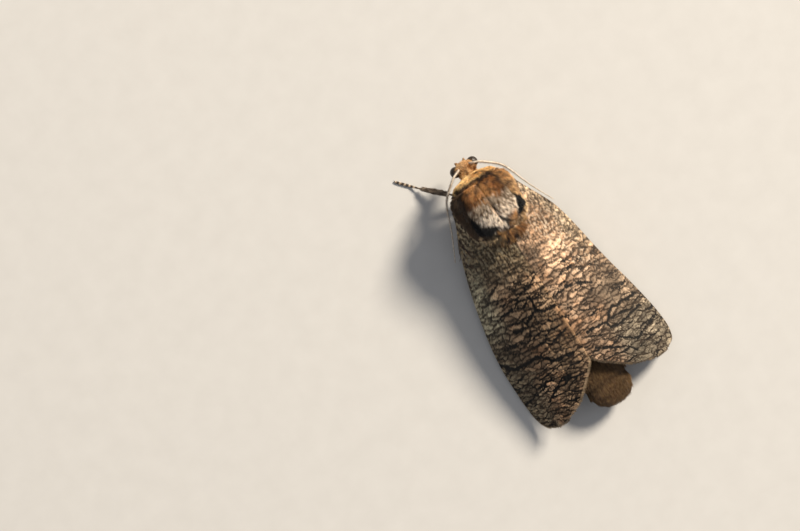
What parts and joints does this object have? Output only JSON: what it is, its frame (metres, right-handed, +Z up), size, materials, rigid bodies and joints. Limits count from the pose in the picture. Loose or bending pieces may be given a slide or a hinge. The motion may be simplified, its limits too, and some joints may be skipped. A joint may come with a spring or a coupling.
{
  "type": "goat moth",
  "caption": "Goat moth at rest: stout furry body, bark-patterned wings folded like a roof over the abdomen, swept-back combed feelers and short legs.",
  "frame": {"origin": "centre of the bounding box in plan, on the floor plane under the feet", "axes": "+Z up; the head points to -Y and the wing tips to +Y; the moth's left is +X"},
  "size_m": [0.0254, 0.047, 0.0128],
  "materials": {
    "head_scales": "short matte hair-like scales",
    "eye": "glossy, finely faceted",
    "collar_scales": "dense upright matte hair",
    "thorax_scales": "long flat matte hair-like scales",
    "wing_scales": "matte overlapping scales with dark cracked lines",
    "hindwing_scales": "matte fine scales",
    "abdomen_scales": "dense matte hair in rings",
    "feeler": "pale horn, slightly satin",
    "leg_scales": "matte scales, banded on the feet"
  },
  "bodies": {
    "root": {"head": "head_scales", "eye_left": "eye", "eye_right": "eye", "palp_left": "head_scales", "palp_right": "head_scales", "antenna_left": "feeler", "antenna_right": "feeler", "collar": "collar_scales", "thorax": "thorax_scales", "metathorax": "thorax_scales", "tegula_left": "thorax_scales", "tegula_right": "thorax_scales", "abdomen_1": "abdomen_scales", "abdomen_2": "abdomen_scales", "abdomen_3": "abdomen_scales", "abdomen_4": "abdomen_scales", "abdomen_5": "abdomen_scales", "abdomen_6": "abdomen_scales", "abdomen_7": "abdomen_scales", "forewing_left": "wing_scales", "forewing_right": "wing_scales", "hindwing_left": "hindwing_scales", "hindwing_right": "hindwing_scales", "leg_fore_left_coxa": "leg_scales", "leg_fore_left_femur": "leg_scales", "leg_fore_left_tibia": "leg_scales", "leg_fore_left_tarsus": "leg_scales", "leg_fore_right_coxa": "leg_scales", "leg_fore_right_femur": "leg_scales", "leg_fore_right_tibia": "leg_scales", "leg_fore_right_tarsus": "leg_scales", "leg_mid_left_coxa": "leg_scales", "leg_mid_left_femur": "leg_scales", "leg_mid_left_tibia": "leg_scales", "leg_mid_left_tarsus": "leg_scales", "leg_mid_right_coxa": "leg_scales", "leg_mid_right_femur": "leg_scales", "leg_mid_right_tibia": "leg_scales", "leg_mid_right_tarsus": "leg_scales", "leg_hind_left_coxa": "leg_scales", "leg_hind_left_femur": "leg_scales", "leg_hind_left_tibia": "leg_scales", "leg_hind_left_tarsus": "leg_scales", "leg_hind_right_coxa": "leg_scales", "leg_hind_right_femur": "leg_scales", "leg_hind_right_tibia": "leg_scales", "leg_hind_right_tarsus": "leg_scales"}
  },
  "joints": []
}
